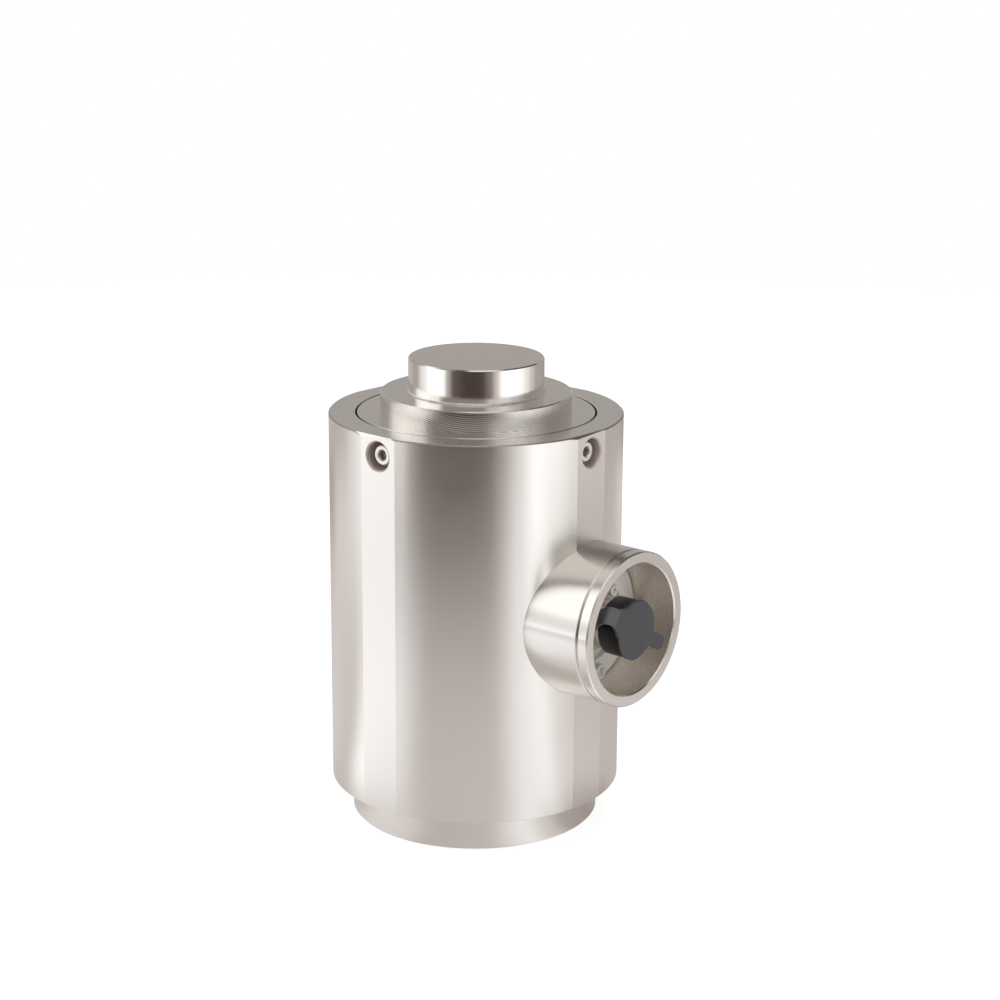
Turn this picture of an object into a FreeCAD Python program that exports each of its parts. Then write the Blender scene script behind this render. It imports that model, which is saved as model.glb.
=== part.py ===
import FreeCAD, Part
import math
import os

# Column load cell for compression, standing on its base.
# The cell's axis is Z, the underside of the base lies at Z = 0, and the connector guard points along +X.
# All sizes are in millimetres.

# Housing sleeve, whose diameter the other round sizes follow
sleeve_diameter = 150.0
sleeve_wall = 13.5
sleeve_length = 194.75
sleeve_lift = 0.5
sleeve_gap = 1.0
flat_count = 4
flat_depth = 0.8
flat_bevel_depth = 0.8
flat_bevel_height = 0.9
flat_bevel_turn = -2.5

# Load column: base, gauged section, flange, collar and load button are turned from one bar
base_step = 10.85
base_height = 18.25
spigot_height = 20.0
chamber_width = 24.5
gauge_fillet = 8.0
gauge_flat_depth = 4.0
gauge_flat_length = 64.0
flange_height = 34.0
collar_step = 11.75
collar_height = 10.4
button_step = 14.25
button_height = 17.5
button_root = 0.9
edge_chamfer = 0.6
base_chamfer = 1.2

# Sleeve screws, M6, one in the middle of each flat
sleeve_screw_drop = 10.1
sleeve_screw_recess = 3.1
sleeve_screw_pocket = 14.4
sleeve_screw_mouth = 0.7
sleeve_screw = {"thread": 6.0, "head": 10.0, "head_height": 6.0, "socket": 5.0, "length": 16.0}
screw_hole_slack = 0.6
thread_slack = 0.1
screw_bevel_share = 1 / 12
screw_socket_share = 1 / 2
screw_mouth_share = 1 / 24

# Sealing rings between column and sleeve
seal_cord = 3.5
seal_groove_width = 4.6
lower_seal_height = 9.0
upper_seal_height = 9.0

# Connector guard, a short tube let into a flat seat in the sleeve
guard_level = 99.65
guard_wall = 6.0
guard_stand = 27.9
guard_sink = 0.45
guard_fit = 0.05
guard_floor = 6.3
guard_floor_room = 4.0
guard_chamfer = 0.6
guard_groove_width = 1.7
guard_groove_depth = 1.1
guard_groove_setback = 5.1
port_step = 2.0

# Round plate that closes the guard's floor and carries the receptacle
plate_thickness = 8.0
plate_slack = 0.3
plate_chamfer = 0.6
plate_pocket_slack = 0.16
plate_land = 4.9
plate_edge = 6.15
plate_screw_count = 4
plate_screw = {"thread": 5.0, "head": 8.5, "head_height": 5.0, "socket": 4.0, "length": 12.0}
plate_seal_cord = 2.0
plate_seal_inset = 3.5

# Receptacle with a square flange, whose barrel sets the size of plate and guard
receptacle_barrel = 25.4
receptacle_wall = 2.2
receptacle_margin = 3.55
receptacle_corner = 3.0
receptacle_flange_thickness = 2.4
receptacle_gasket = 0.8
receptacle_reach = 23.1
receptacle_rear_step = 0.7
receptacle_rear_length = 14.0
receptacle_lead = 0.8
receptacle_neck_length = 10.8
receptacle_neck_depth = 0.4
receptacle_screw_inset = 3.95
receptacle_screw = {"thread": 3.0, "head": 5.5, "head_height": 3.0, "socket": 2.5, "length": 8.0}
receptacle_slack = 0.4
insulator_slack = 0.1
insulator_stand = 6.8
insulator_tail = 12.0
pin_diameter = 1.6
pin_inset = 4.5
pin_outer_count = 6
pin_stand = 10.0
pin_tail = 5.0

# Rubber dust cap with its tab, strap and eyelet, moulded as one piece
cap_length = 13.3
cap_end = 3.2
cap_wall = 1.9
cap_lip = 0.5
cap_fit = 0.05
cap_disc_thickness = 2.0
cap_tab_angle = -30.0
cap_tab_length = 11.25
cap_tab_width = 6.8
cap_tab_corner = 1.6
cap_neck = 3.0
cap_strap_angle = 150.0
cap_strap_swing = 30.0
cap_strap_width = 9.4
cap_strap_thickness = 2.0
cap_strap_root = 3.0
cap_strap_lead_out = 20.0
cap_strap_bend = 1.8
cap_strap_sections = 17
cap_strap_relief = 0.3
cap_eyelet_rim = 1.75
cap_eyelet_screw = 2

# Strain gauges and solder strips, one set on each flat of the gauged section
gauge_width = 8.0
gauge_length = 12.0
gauge_thickness = 0.2
gauge_spacing = 11.0
strip_width = 14.0
strip_length = 6.0
strip_thickness = 1.0
strip_drop = 14.0

# Ring-shaped trim board hung under the flange
board_neck_gap = 5.0
board_wall_gap = 4.5
board_thickness = 1.6
board_screw_count = 3
board_screw_start = 45.0
board_spacer_diameter = 6.5
board_spacer_length = 10.0
board_screw = {"thread": 3.0, "head": 5.5, "head_height": 3.0, "socket": 2.5, "length": 20.0}
resistor_length = 6.0
resistor_width = 3.0
resistor_height = 1.5
resistor_count = 6
resistor_start = 15.0

# Leads from the receptacle up to the trim board
boot_step = 1.9
boot_length = 8.0
lead_diameter = 5.0
lead_bend = 6.0

# Sleeve and column sizes that follow
sleeve_radius = sleeve_diameter / 2
bore_radius = sleeve_radius - sleeve_wall
flange_radius = bore_radius - sleeve_gap
base_radius = sleeve_radius - base_step
collar_radius = flange_radius - collar_step
button_radius = collar_radius - button_step
gauge_radius = bore_radius - chamber_width
gauge_flat_radius = gauge_radius - gauge_flat_depth
sleeve_bottom = base_height + sleeve_lift
sleeve_top = sleeve_bottom + sleeve_length
flange_bottom = sleeve_top - flange_height
spigot_top = base_height + spigot_height
collar_top = sleeve_top + collar_height
button_top = collar_top + button_height
gauge_middle = (spigot_top + flange_bottom) / 2
flat_radius = sleeve_radius - flat_depth
screw_level = sleeve_top - sleeve_screw_drop
screw_seat = flat_radius - sleeve_screw_recess - sleeve_screw["head_height"]
seal_groove_radius = bore_radius - seal_cord
lower_seal_level = base_height + lower_seal_height
upper_seal_level = flange_bottom + upper_seal_height

# Radii of receptacle, plate and guard, from the inside out
barrel_radius = receptacle_barrel / 2
receptacle_bore = barrel_radius - receptacle_wall
receptacle_rear = barrel_radius - receptacle_rear_step
neck_radius = barrel_radius - receptacle_neck_depth
flange_half = barrel_radius + receptacle_margin
flange_corner_reach = (flange_half - receptacle_corner) * math.sqrt(2) + receptacle_corner
receptacle_screw_offset = flange_half - receptacle_screw_inset
insulator_radius = receptacle_bore - insulator_slack
pin_circle = receptacle_bore - pin_inset
boot_radius = insulator_radius - boot_step
guard_floor_bore = receptacle_rear + guard_floor_room
port_radius = guard_floor_bore + port_step
plate_seal_radius = guard_floor_bore + plate_seal_inset
plate_pocket = flange_corner_reach + plate_pocket_slack
plate_screw_circle = plate_pocket + plate_land
plate_radius = plate_screw_circle + plate_edge
guard_bore = plate_radius + plate_slack
guard_radius = guard_bore + guard_wall

# Places along the guard's axis, from the seat in the sleeve to the cap
guard_height = sleeve_bottom + guard_level
guard_seat = math.sqrt(sleeve_radius ** 2 - guard_radius ** 2) - guard_sink
guard_rim = sleeve_radius + guard_stand
plate_back = guard_seat + guard_floor
plate_front = plate_back + plate_thickness
flange_back = plate_front - receptacle_flange_thickness
pocket_floor = flange_back - receptacle_gasket
neck_end = plate_front + receptacle_neck_length
barrel_end = plate_front + receptacle_reach
rear_end = flange_back - receptacle_rear_length
insulator_front = plate_front + insulator_stand
insulator_back = flange_back - insulator_tail
boot_back = insulator_back - boot_length
pin_front = insulator_front + pin_stand
pin_back = insulator_back - pin_tail
cap_front = barrel_end + cap_end
cap_back = cap_front - cap_length
cap_bore = barrel_radius + cap_fit
cap_radius = cap_bore + cap_wall
cap_disc_radius = cap_radius + cap_lip
cap_tab_reach = cap_disc_radius + cap_tab_length
cap_eyelet_radius = plate_screw["head"] / 2 + cap_eyelet_rim

# Trim board and leads
board_inner = gauge_radius + board_neck_gap
board_outer = bore_radius - board_wall_gap
board_middle = (board_inner + board_outer) / 2
board_top = flange_bottom - board_spacer_length
board_bottom = board_top - board_thickness
lead_rise = boot_back - lead_bend

# How far cutters run past what they cut, and how closely an edge's place has to agree
overshoot = 1.0
tiny = 1e-6

Z_AXIS = FreeCAD.Vector(0, 0, 1)
ORIGIN = FreeCAD.Vector(0, 0, 0)


def cylinder(radius, low, high, x=0.0, y=0.0):
    return Part.makeCylinder(radius, high - low, FreeCAD.Vector(x, y, low))


def cone(low_radius, high_radius, low, high):
    """Cone frustum along Z, carried on past its upper end at the same slope."""
    rise = overshoot * (high - low) / (high_radius - low_radius)
    place = FreeCAD.Vector(0, 0, low)
    return Part.makeCone(low_radius, high_radius + overshoot, high - low + rise, place)


def tube(inner, outer, low, high):
    return cylinder(outer, low, high).cut(cylinder(inner, low - overshoot, high + overshoot))


def box(x_low, x_high, y_half, low, high):
    return Part.makeBox(x_high - x_low, 2 * y_half, high - low, FreeCAD.Vector(x_low, -y_half, low))


def turned(outline):
    """Solid of revolution about Z from a closed outline of (radius, height) points."""
    points = [FreeCAD.Vector(radius, 0, height) for radius, height in outline]
    face = Part.Face(Part.makePolygon(points + points[:1]))
    return face.revolve(ORIGIN, Z_AXIS, 360)


def ring(middle_radius, cord, level):
    return Part.makeTorus(middle_radius, cord / 2, FreeCAD.Vector(0, 0, level))


def around(shape, angles):
    """Copies of a shape turned about Z to each angle in degrees."""
    copies = []
    for angle in angles:
        copy = shape.copy()
        copy.rotate(ORIGIN, Z_AXIS, angle)
        copies.append(copy)
    return copies


def equal_angles(count, start=0.0):
    return [start + 360.0 * step / count for step in range(count)]


def to_side(shape):
    """Lays a shape built along Z so that it points along +X at the guard's height."""
    laid = shape.copy()
    laid.rotate(ORIGIN, FreeCAD.Vector(1, 1, 1), 120)
    laid.translate(FreeCAD.Vector(0, 0, guard_height))
    return laid


def out_to_flat(shape, level):
    """Lays a shape built along Z so that it points along +X at the given level."""
    laid = shape.copy()
    laid.rotate(ORIGIN, FreeCAD.Vector(0, 1, 0), 90)
    laid.translate(FreeCAD.Vector(0, 0, level))
    return laid


def hexagon(across_flats, low, high):
    corner = across_flats / math.sqrt(3)
    points = []
    for angle in equal_angles(6):
        turn = math.radians(angle)
        points.append(FreeCAD.Vector(corner * math.cos(turn), corner * math.sin(turn), low))
    face = Part.Face(Part.makePolygon(points + points[:1]))
    return face.extrude(FreeCAD.Vector(0, 0, high - low))


def socket_screw(size, seat):
    """Socket head cap screw along Z with the underside of its head at the given height."""
    head_radius = size["head"] / 2
    thread_radius = size["thread"] / 2
    head_top = seat + size["head_height"]
    tip = seat - size["length"]
    bevel = size["thread"] * screw_bevel_share
    outline = [
        (0, head_top),
        (head_radius - bevel, head_top),
        (head_radius, head_top - bevel),
        (head_radius, seat),
        (thread_radius, seat),
        (thread_radius, tip + bevel),
        (thread_radius - bevel, tip),
        (0, tip),
    ]
    socket_floor = head_top - size["thread"] * screw_socket_share
    socket = hexagon(size["socket"], socket_floor, head_top + overshoot)
    return turned(outline).cut([socket, socket_mouth(size, head_top)])


def socket_mouth(size, head_top):
    """Cutter for the cone that leads into the hexagon of a screw head."""
    narrow = size["socket"] / 2
    wide = size["socket"] / math.sqrt(3) + size["thread"] * screw_mouth_share
    return cone(narrow, wide, head_top - wide + narrow, head_top)


def tapped_hole(size, seat, mouth):
    """Cutter for the thread of a screw seated at the given height, with a drill's run-out below it."""
    run_out = size["thread"] / 2
    radius = (size["thread"] + thread_slack) / 2
    return cylinder(radius, seat - size["length"] - run_out, mouth + overshoot)


# Load column


def load_column():
    outline = [
        (0, 0),
        (base_radius - base_chamfer, 0),
        (base_radius, base_chamfer),
        (base_radius, base_height - edge_chamfer),
        (base_radius - edge_chamfer, base_height),
        (flange_radius, base_height),
        (flange_radius, spigot_top),
        (gauge_radius, spigot_top),
        (gauge_radius, flange_bottom),
        (flange_radius, flange_bottom),
        (flange_radius, sleeve_top - edge_chamfer / 2),
        (flange_radius - edge_chamfer / 2, sleeve_top),
        (collar_radius, sleeve_top),
        (collar_radius, collar_top - edge_chamfer),
        (collar_radius - edge_chamfer, collar_top),
        (button_radius, collar_top),
        (button_radius, button_top - edge_chamfer),
        (button_radius - edge_chamfer, button_top),
        (0, button_top),
    ]
    column = turned(outline)
    column = column.makeFillet(gauge_fillet, round_edges(column, gauge_radius, [spigot_top, flange_bottom]))
    column = column.makeFillet(button_root, round_edges(column, button_radius, [collar_top]))
    cutters = [seal_groove(lower_seal_level), seal_groove(upper_seal_level)]
    cutters += gauge_flats()
    sleeve_thread = tapped_hole(sleeve_screw, screw_seat, flange_radius)
    cutters += around(out_to_flat(sleeve_thread, screw_level), equal_angles(flat_count))
    board_thread = board_screws_placed(tapped_hole(board_screw, 0, -board_thickness - board_spacer_length))
    return column.cut(cutters + board_thread)


def round_edges(shape, radius, levels):
    """Circular edges of the given radius about Z that lie at one of the given heights."""
    found = []
    for edge in shape.Edges:
        if isinstance(edge.Curve, Part.Circle) and abs(edge.Curve.Radius - radius) < tiny:
            if any(abs(edge.Curve.Center.z - level) < tiny for level in levels):
                found.append(edge)
    return found


def seal_groove(level):
    half = seal_groove_width / 2
    return tube(seal_groove_radius, bore_radius, level - half, level + half)


def gauge_flats():
    low = gauge_middle - gauge_flat_length / 2
    high = gauge_middle + gauge_flat_length / 2
    cutter = box(gauge_flat_radius, gauge_radius + overshoot, gauge_radius, low, high)
    return around(cutter, equal_angles(flat_count))


# Housing sleeve


def housing_sleeve():
    outline = [
        (bore_radius + edge_chamfer, sleeve_bottom),
        (sleeve_radius - edge_chamfer, sleeve_bottom),
        (sleeve_radius, sleeve_bottom + edge_chamfer),
        (sleeve_radius, sleeve_top - edge_chamfer),
        (sleeve_radius - edge_chamfer, sleeve_top),
        (bore_radius + edge_chamfer / 2, sleeve_top),
        (bore_radius, sleeve_top - edge_chamfer / 2),
        (bore_radius, sleeve_bottom + edge_chamfer),
    ]
    angles = equal_angles(flat_count)
    cutters = around(milled_flat(), angles)
    cutters += around(flat_bevel(), angles)
    cutters += around(out_to_flat(screw_pocket(), screw_level), angles)
    seat = cylinder(guard_radius + guard_fit, guard_seat, guard_rim)
    port = cylinder(port_radius, gauge_radius, guard_rim)
    cutters += [to_side(seat), to_side(port)]
    return turned(outline).cut(cutters)


def milled_flat():
    return box(flat_radius, guard_rim, sleeve_radius, sleeve_bottom - overshoot, sleeve_top + overshoot)


def flat_bevel():
    """Sloping bevel above each flat, cut through the sleeve's top edge and turned a little off the flat."""
    rise = flat_bevel_height / flat_bevel_depth
    top_reach = flat_radius - flat_bevel_depth
    outer = sleeve_radius + overshoot
    corners = [
        (top_reach - overshoot / rise, sleeve_top + overshoot),
        (outer, sleeve_top + overshoot),
        (outer, sleeve_top - (outer - top_reach) * rise),
    ]
    points = [FreeCAD.Vector(x, -sleeve_radius, height) for x, height in corners]
    face = Part.Face(Part.makePolygon(points + points[:1]))
    bevel = face.extrude(FreeCAD.Vector(0, sleeve_diameter, 0))
    return around(bevel, [flat_bevel_turn])[0]


def screw_pocket():
    """Through hole, flat-floored pocket and the pocket's bevelled mouth, built along Z."""
    radius = sleeve_screw_pocket / 2
    hole = cylinder((sleeve_screw["thread"] + screw_hole_slack) / 2, gauge_radius, sleeve_radius)
    pocket = cylinder(radius, screw_seat, sleeve_radius)
    mouth = cone(radius, radius + sleeve_screw_mouth, flat_radius - sleeve_screw_mouth, flat_radius)
    return hole.fuse([pocket, mouth])


def sleeve_screws():
    screw = out_to_flat(socket_screw(sleeve_screw, screw_seat), screw_level)
    return around(screw, equal_angles(flat_count))


def column_seal(level):
    return ring(seal_groove_radius + seal_cord / 2, seal_cord, level)


# Connector guard and its floor plate


def connector_guard():
    groove_high = guard_rim - guard_groove_setback
    groove_low = groove_high - guard_groove_width
    groove_radius = guard_radius - guard_groove_depth
    outline = [
        (guard_floor_bore, guard_seat),
        (guard_radius, guard_seat),
        (guard_radius, groove_low - guard_chamfer / 2),
        (guard_radius - guard_chamfer / 2, groove_low),
        (groove_radius, groove_low),
        (groove_radius, groove_high),
        (guard_radius, groove_high),
        (guard_radius, guard_rim - guard_chamfer),
        (guard_radius - guard_chamfer, guard_rim),
        (guard_bore + guard_chamfer, guard_rim),
        (guard_bore, guard_rim - guard_chamfer),
        (guard_bore, plate_back),
        (guard_floor_bore, plate_back),
    ]
    half = plate_seal_cord / 2
    groove_floor = plate_back - plate_seal_cord
    groove = tube(plate_seal_radius - half, plate_seal_radius + half, groove_floor, plate_back + overshoot)
    thread = tapped_hole(plate_screw, plate_front, plate_back)
    guard = turned(outline).cut([groove] + plate_screws_placed(thread))
    return to_side(guard)


def plate_screws_placed(shape):
    moved = shape.copy()
    moved.translate(FreeCAD.Vector(plate_screw_circle, 0, 0))
    return around(moved, equal_angles(plate_screw_count))


def plate_seal():
    return to_side(ring(plate_seal_radius, plate_seal_cord, plate_back - plate_seal_cord / 2))


def connector_plate():
    outline = [
        (0, plate_back),
        (plate_radius, plate_back),
        (plate_radius, plate_front - plate_chamfer),
        (plate_radius - plate_chamfer, plate_front),
        (0, plate_front),
    ]
    above = plate_front + overshoot
    below = plate_back - overshoot
    pocket = cylinder(plate_pocket, pocket_floor, above)
    opening = cylinder(receptacle_rear + receptacle_slack / 2, below, above)
    screw_hole = cylinder((plate_screw["thread"] + screw_hole_slack) / 2, below, above)
    cutters = [pocket, opening] + plate_screws_placed(screw_hole)
    cutters += receptacle_corners(cylinder((receptacle_screw["thread"] + thread_slack) / 2, below, above))
    return to_side(turned(outline).cut(cutters))


def plate_screws():
    """Four screws, one of which clamps the eyelet of the cap's strap and so stands higher."""
    screws = plate_screws_placed(socket_screw(plate_screw, plate_front))
    screws[cap_eyelet_screw].translate(FreeCAD.Vector(0, 0, cap_strap_thickness))
    return [to_side(screw) for screw in screws]


# Receptacle


def receptacle_corners(shape):
    offset = receptacle_screw_offset
    copies = []
    for x_side in (-1, 1):
        for y_side in (-1, 1):
            copy = shape.copy()
            copy.translate(FreeCAD.Vector(x_side * offset, y_side * offset, 0))
            copies.append(copy)
    return copies


def square_flange(low, high):
    flange = box(-flange_half, flange_half, flange_half, low, high)
    corners = upright_edges(flange, flange_half * math.sqrt(2), overshoot)
    flange = flange.makeFillet(receptacle_corner, corners)
    slack = (receptacle_screw["thread"] + receptacle_slack) / 2
    return flange.cut(receptacle_corners(cylinder(slack, low - overshoot, high + overshoot)))


def receptacle_shell():
    barrel = [
        (receptacle_bore, rear_end),
        (receptacle_rear, rear_end),
        (receptacle_rear, flange_back),
        (neck_radius, flange_back),
        (neck_radius, neck_end),
        (barrel_radius, neck_end + receptacle_neck_depth),
        (barrel_radius, barrel_end - receptacle_lead),
        (barrel_radius - receptacle_lead, barrel_end),
        (receptacle_bore, barrel_end),
    ]
    flange = square_flange(flange_back, plate_front)
    flange = flange.cut(cylinder(receptacle_bore, flange_back - overshoot, plate_front + overshoot))
    return to_side(flange.fuse(turned(barrel)).removeSplitter())


def receptacle_seal():
    opening = receptacle_rear + receptacle_slack / 2
    pad = square_flange(pocket_floor, flange_back)
    return to_side(pad.cut(cylinder(opening, pocket_floor - overshoot, flange_back + overshoot)))


def receptacle_screws():
    return [to_side(screw) for screw in receptacle_corners(socket_screw(receptacle_screw, plate_front))]


def contact_places(shape):
    moved = shape.copy()
    moved.translate(FreeCAD.Vector(pin_circle, 0, 0))
    return [shape] + around(moved, equal_angles(pin_outer_count))


def contact_insulator():
    body = cylinder(insulator_radius, insulator_back, insulator_front)
    hole_radius = (pin_diameter + thread_slack) / 2
    hole = cylinder(hole_radius, insulator_back - overshoot, insulator_front + overshoot)
    return to_side(body.cut(contact_places(hole)))


def contact_pins():
    radius = pin_diameter / 2
    outline = [
        (0, pin_back),
        (radius, pin_back),
        (radius, pin_front - radius / 2),
        (radius / 2, pin_front),
        (0, pin_front),
    ]
    return [to_side(pin) for pin in contact_places(turned(outline))]


# Dust cap


def cap_face():
    """Front disc of the cap with its tab, the strap's root and their rounded necks."""
    low = cap_front - cap_disc_thickness
    disc = cylinder(cap_disc_radius, low, cap_front)
    tab = box(0, cap_tab_reach, cap_tab_width / 2, low, cap_front)
    tab = tab.makeFillet(cap_tab_corner, upright_edges(tab, cap_tab_reach, overshoot))
    tab.rotate(ORIGIN, Z_AXIS, cap_tab_angle)
    face = disc.fuse(tab).removeSplitter()
    return face.makeFillet(cap_neck, upright_edges(face, cap_disc_radius, thread_slack))


def upright_edges(shape, radius, reach):
    """Straight edges along Z that stand about the given distance from the axis."""
    found = []
    for edge in shape.Edges:
        first = edge.Vertexes[0].Point
        last = edge.Vertexes[-1].Point
        upright = math.hypot(first.x - last.x, first.y - last.y) < tiny and abs(first.z - last.z) > tiny
        if upright and abs(math.hypot(first.x, first.y) - radius) < reach:
            found.append(edge)
    return found


def strap_line():
    """Middle line of the strap as (radius, height), from inside the disc out, back and on to the plate."""
    half = cap_strap_thickness / 2
    root = cap_disc_radius - cap_strap_root
    front = cap_front - half
    back = plate_front + half
    corners = [
        (root, front),
        (root + cap_strap_lead_out, front),
        (cap_disc_radius + cap_strap_bend, front),
        (barrel_radius, back),
        (plate_screw_circle, back),
    ]
    curve = Part.BezierCurve()
    curve.setPoles([FreeCAD.Vector(radius, 0, height) for radius, height in corners])
    return curve


def strap_section(curve, share):
    """Oblong cross-section of the strap at a share of its length, swung towards the eyelet's screw."""
    middle = curve.value(share)
    along = curve.tangent(share)[0]
    outward = FreeCAD.Vector(-along.z, 0, along.x) * (cap_strap_thickness / 2)
    side = FreeCAD.Vector(0, cap_strap_width / 2, 0)
    corners = [middle - side - outward, middle + side - outward, middle + side + outward, middle - side + outward]
    section = Part.makePolygon(corners + corners[:1])
    section.rotate(ORIGIN, Z_AXIS, cap_strap_angle + cap_strap_swing * share ** 2)
    return section


def cap_strap():
    """Strap drawn through its cross-sections, flat from each to the next."""
    curve = strap_line()
    last = cap_strap_sections - 1
    sections = [strap_section(curve, step / last) for step in range(cap_strap_sections)]
    return Part.makeLoft(sections, True, True)


def dust_cap():
    """Cup with front face, strap and the eyelet at its end, which one of the plate screws clamps."""
    top = plate_front + cap_strap_thickness
    head_radius = plate_screw["head"] / 2 + cap_strap_relief
    hole_radius = (plate_screw["thread"] + screw_hole_slack) / 2
    cup = cylinder(cap_radius, cap_back, cap_front)
    bore = cylinder(cap_bore, plate_front, barrel_end)
    eyelet = at_eyelet(cylinder(cap_eyelet_radius, plate_front, top))
    hole = at_eyelet(cylinder(hole_radius, plate_front - overshoot, top + overshoot))
    relief = at_eyelet(cylinder(head_radius, top, cap_front))
    cap = cup.fuse([cap_face(), cap_strap(), eyelet])
    return to_side(cap.cut([bore, hole, relief]).removeSplitter())


def at_eyelet(shape):
    return plate_screws_placed(shape)[cap_eyelet_screw]


# Strain gauges, trim board and leads inside the housing


def strain_gauges():
    outer = gauge_flat_radius + gauge_thickness
    upper = gauge_middle + gauge_spacing / 2
    along = box(gauge_flat_radius, outer, gauge_width / 2, upper, upper + gauge_length)
    lower = gauge_middle - gauge_spacing / 2
    across = box(gauge_flat_radius, outer, gauge_length / 2, lower - gauge_width, lower)
    angles = equal_angles(flat_count)
    return around(along, angles) + around(across, angles)


def solder_strips():
    top = gauge_middle - gauge_spacing / 2 - strip_drop
    outer = gauge_flat_radius + strip_thickness
    strip = box(gauge_flat_radius, outer, strip_width / 2, top - strip_length, top)
    return around(strip, equal_angles(flat_count))


def board_screws_placed(shape):
    """Copies of a shape built at the board's underside, one on each board screw."""
    moved = shape.copy()
    moved.rotate(ORIGIN, FreeCAD.Vector(1, 0, 0), 180)
    moved.translate(FreeCAD.Vector(board_middle, 0, board_bottom))
    return around(moved, equal_angles(board_screw_count, board_screw_start))


def trim_board():
    board = tube(board_inner, board_outer, board_bottom, board_top)
    hole_radius = (board_screw["thread"] + thread_slack) / 2
    hole = cylinder(hole_radius, -board_thickness - overshoot, overshoot)
    return board.cut(board_screws_placed(hole))


def board_spacers():
    inner = (board_screw["thread"] + thread_slack) / 2
    spacer = tube(inner, board_spacer_diameter / 2, -board_thickness - board_spacer_length, -board_thickness)
    return board_screws_placed(spacer)


def board_screws():
    return board_screws_placed(socket_screw(board_screw, 0))


def trim_resistors():
    half = resistor_width / 2
    low = board_bottom - resistor_height
    resistor = box(board_middle - half, board_middle + half, resistor_length / 2, low, board_bottom)
    return around(resistor, equal_angles(resistor_count, resistor_start))


def lead_bundle():
    """Boot on the back of the contacts and the bundle that rises from it to the trim board."""
    boot = to_side(cylinder(boot_radius, boot_back, insulator_back))
    boot = boot.cut(contact_pins())
    start = FreeCAD.Vector(boot_back + overshoot, 0, guard_height)
    turn = FreeCAD.Vector(boot_back, 0, guard_height)
    inward = lead_bend * (1 - math.sqrt(1 / 2))
    middle = FreeCAD.Vector(lead_rise + inward, 0, guard_height + inward)
    up = FreeCAD.Vector(lead_rise, 0, guard_height + lead_bend)
    end = FreeCAD.Vector(lead_rise, 0, board_bottom)
    path = Part.Wire([Part.makeLine(start, turn), Part.Arc(turn, middle, up).toShape(), Part.makeLine(up, end)])
    section = Part.Wire(Part.makeCircle(lead_diameter / 2, start, FreeCAD.Vector(-1, 0, 0)))
    leads = path.makePipeShell([section], True, True)
    return boot.fuse(leads).removeSplitter()


PIECES = {
    "load_column": load_column,
    "housing_sleeve": housing_sleeve,
    "sleeve_screws": sleeve_screws,
    "lower_seal": lambda: column_seal(lower_seal_level),
    "upper_seal": lambda: column_seal(upper_seal_level),
    "connector_guard": connector_guard,
    "plate_seal": plate_seal,
    "connector_plate": connector_plate,
    "plate_screws": plate_screws,
    "receptacle_shell": receptacle_shell,
    "receptacle_seal": receptacle_seal,
    "receptacle_screws": receptacle_screws,
    "contact_insulator": contact_insulator,
    "contact_pins": contact_pins,
    "dust_cap": dust_cap,
    "strain_gauges": strain_gauges,
    "solder_strips": solder_strips,
    "trim_board": trim_board,
    "board_spacers": board_spacers,
    "board_screws": board_screws,
    "trim_resistors": trim_resistors,
    "lead_bundle": lead_bundle,
}

os.makedirs("parts", exist_ok=True)
for name, build in PIECES.items():
    shape = build()
    if isinstance(shape, list):
        shape = Part.makeCompound(shape)
    shape.exportStep("parts/" + name + ".step")
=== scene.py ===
import math

import bmesh
import bpy
from mathutils import Matrix, Vector


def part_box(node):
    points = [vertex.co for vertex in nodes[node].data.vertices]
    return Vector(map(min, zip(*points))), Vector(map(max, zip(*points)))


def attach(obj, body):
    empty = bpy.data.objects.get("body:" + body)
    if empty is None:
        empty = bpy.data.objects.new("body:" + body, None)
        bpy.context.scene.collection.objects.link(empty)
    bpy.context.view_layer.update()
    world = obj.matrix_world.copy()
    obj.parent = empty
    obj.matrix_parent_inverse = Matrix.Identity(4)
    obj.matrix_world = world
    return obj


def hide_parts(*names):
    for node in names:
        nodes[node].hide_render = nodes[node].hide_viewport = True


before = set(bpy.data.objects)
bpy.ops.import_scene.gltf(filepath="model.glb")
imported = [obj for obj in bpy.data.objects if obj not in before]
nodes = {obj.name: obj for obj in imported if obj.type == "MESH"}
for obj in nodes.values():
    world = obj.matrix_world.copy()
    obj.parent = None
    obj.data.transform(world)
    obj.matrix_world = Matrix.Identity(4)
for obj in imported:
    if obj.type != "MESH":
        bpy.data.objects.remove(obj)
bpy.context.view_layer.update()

mm = 0.001
hair = 0.0005 * mm

# Camera, at the photograph's place, and its direction in degrees

image_size = 1000
camera_distance = 1.16662
camera_height = 0.48911
camera_azimuth = 40.2
camera_pitch = 15.478
camera_roll = 0.367
camera_yaw = 0.608
focal_pixels = 2355.88
sensor = 36.0
nearest_seen = 0.05
farthest_seen = 60
front_angle = math.radians(camera_azimuth - 90)


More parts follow.
